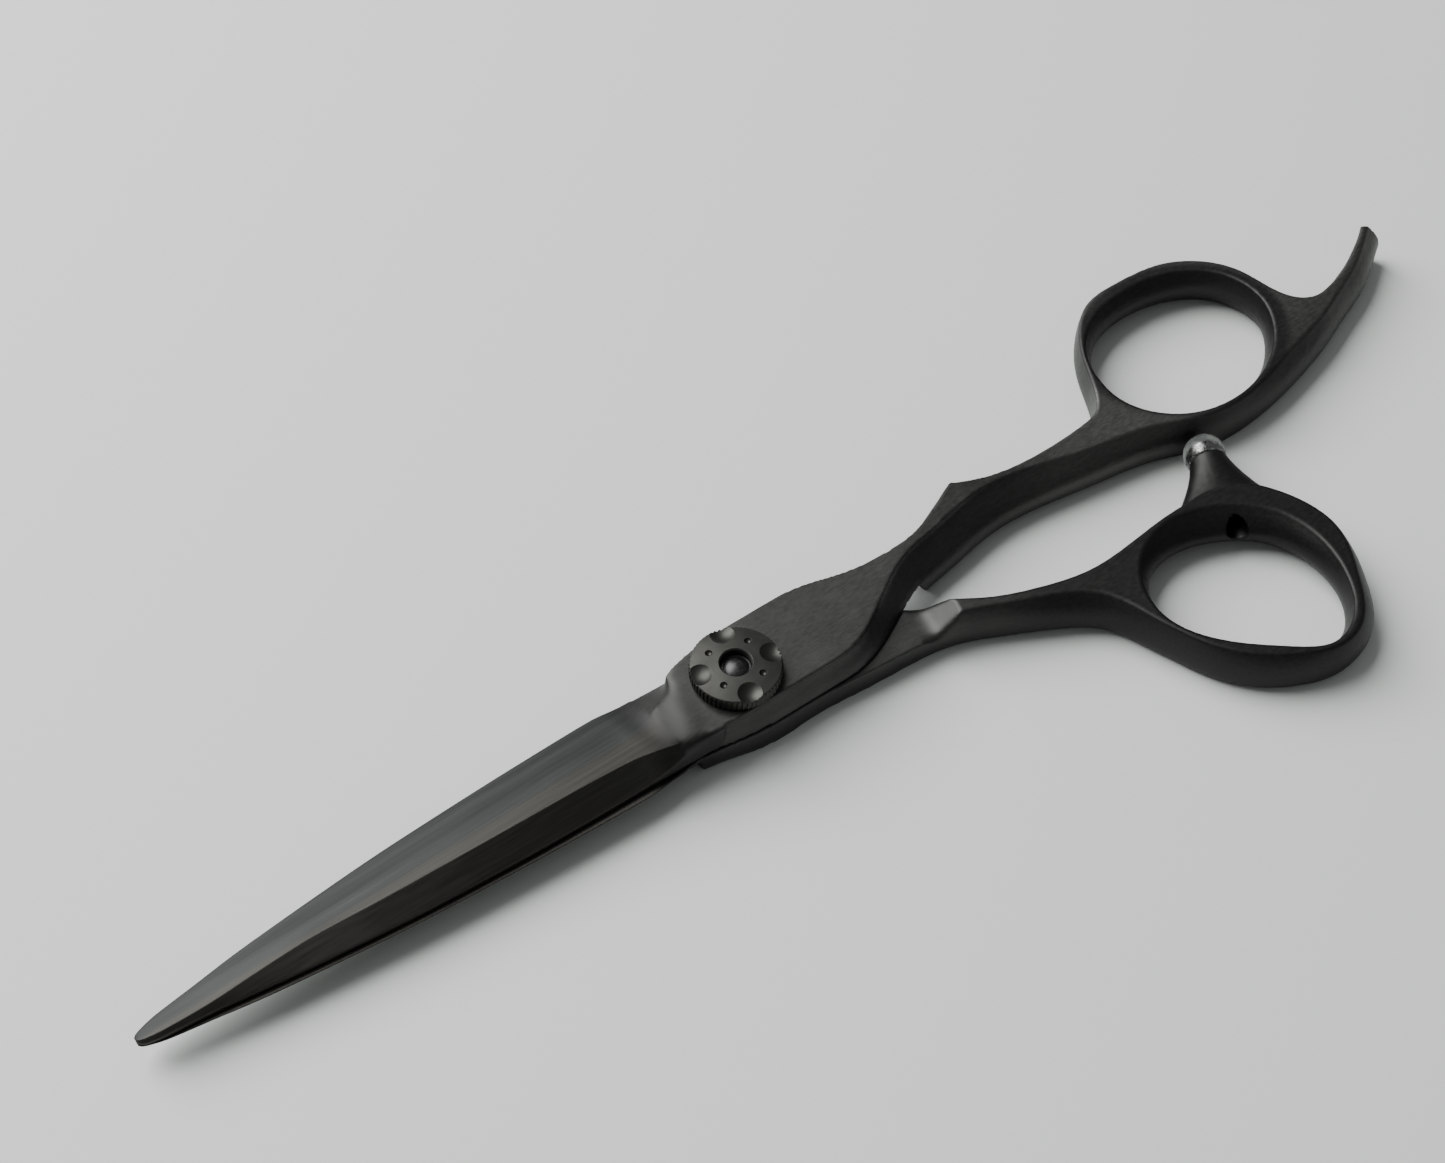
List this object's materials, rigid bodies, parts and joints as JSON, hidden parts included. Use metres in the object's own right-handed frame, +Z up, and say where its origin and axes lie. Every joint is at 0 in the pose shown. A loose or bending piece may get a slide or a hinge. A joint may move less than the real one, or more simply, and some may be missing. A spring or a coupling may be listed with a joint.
{
  "type": "hair cutting shears",
  "caption": "Offset hair cutting shears with a fixed finger rest, ball-bearing pivot, click dial and silicone bumper, in satin black steel.",
  "frame": {"origin": "on the pivot axis, on the flush underside of the pivot bolt, which is the plane that the shears rest on", "axes": "+X from the pivot towards the finger ring, so the blade tips are at -X; +Z up out of the dial; +Y towards the finger ring's side"},
  "size_m": [0.1752, 0.0557, 0.0086],
  "materials": {
    "black_coated_steel": "satin black physical-vapour coating over brushed steel",
    "dark_bolt_steel": "blackened steel",
    "bright_steel": "polished hardened steel",
    "cage_brass": "turned brass",
    "white_slip_plastic": "white low-friction plastic",
    "gunmetal_dial": "glossy gunmetal coating, knurled rim",
    "clear_silicone": "clear silicone rubber"
  },
  "bodies": {
    "thumb_side": {"thumb_half": "black_coated_steel", "pivot_bolt": "dark_bolt_steel", "bolt_key_pin": "bright_steel", "lower_race": "bright_steel", "bumper_screw": "dark_bolt_steel", "bumper_collar": "bright_steel", "bumper_cap": "clear_silicone"},
    "finger_side": {"finger_half": "black_coated_steel", "upper_race": "bright_steel", "pivot_sleeve": "cage_brass", "slip_washer": "white_slip_plastic"},
    "bearing": {"ball_cage": "cage_brass", "bearing_balls": "bright_steel"},
    "click_stack": {"click_plate": "bright_steel", "spring_washer": "bright_steel"},
    "dial": {"adjuster_dial": "gunmetal_dial", "detent_balls": "bright_steel", "detent_springs": "bright_steel"}
  },
  "joints": [
    {"name": "shear_pivot", "type": "hinge", "parent": "thumb_side", "child": "finger_side", "pos_m": [0, 0, 0.00335], "axis": [0, 0, 1], "range_deg": [0, 135]},
    {"name": "cage_roll", "type": "hinge", "parent": "thumb_side", "child": "bearing", "pos_m": [0, 0, 0.00335], "axis": [0, 0, 1], "range_deg": [0, 67.5]},
    {"name": "click_lift", "type": "slide", "parent": "thumb_side", "child": "click_stack", "axis": [0, 0, 1], "range_m": [0, 0.0005]},
    {"name": "dial_turn", "type": "hinge", "parent": "click_stack", "child": "dial", "pos_m": [0, 0, 0.0075], "axis": [0, 0, 1], "range_deg": [0, 360]}
  ],
  "couplings": [
    {"joint": "cage_roll", "follows": "shear_pivot", "ratio": 0.5},
    {"joint": "click_lift", "follows": "dial_turn", "m_per_rad": 0.000079577}
  ]
}
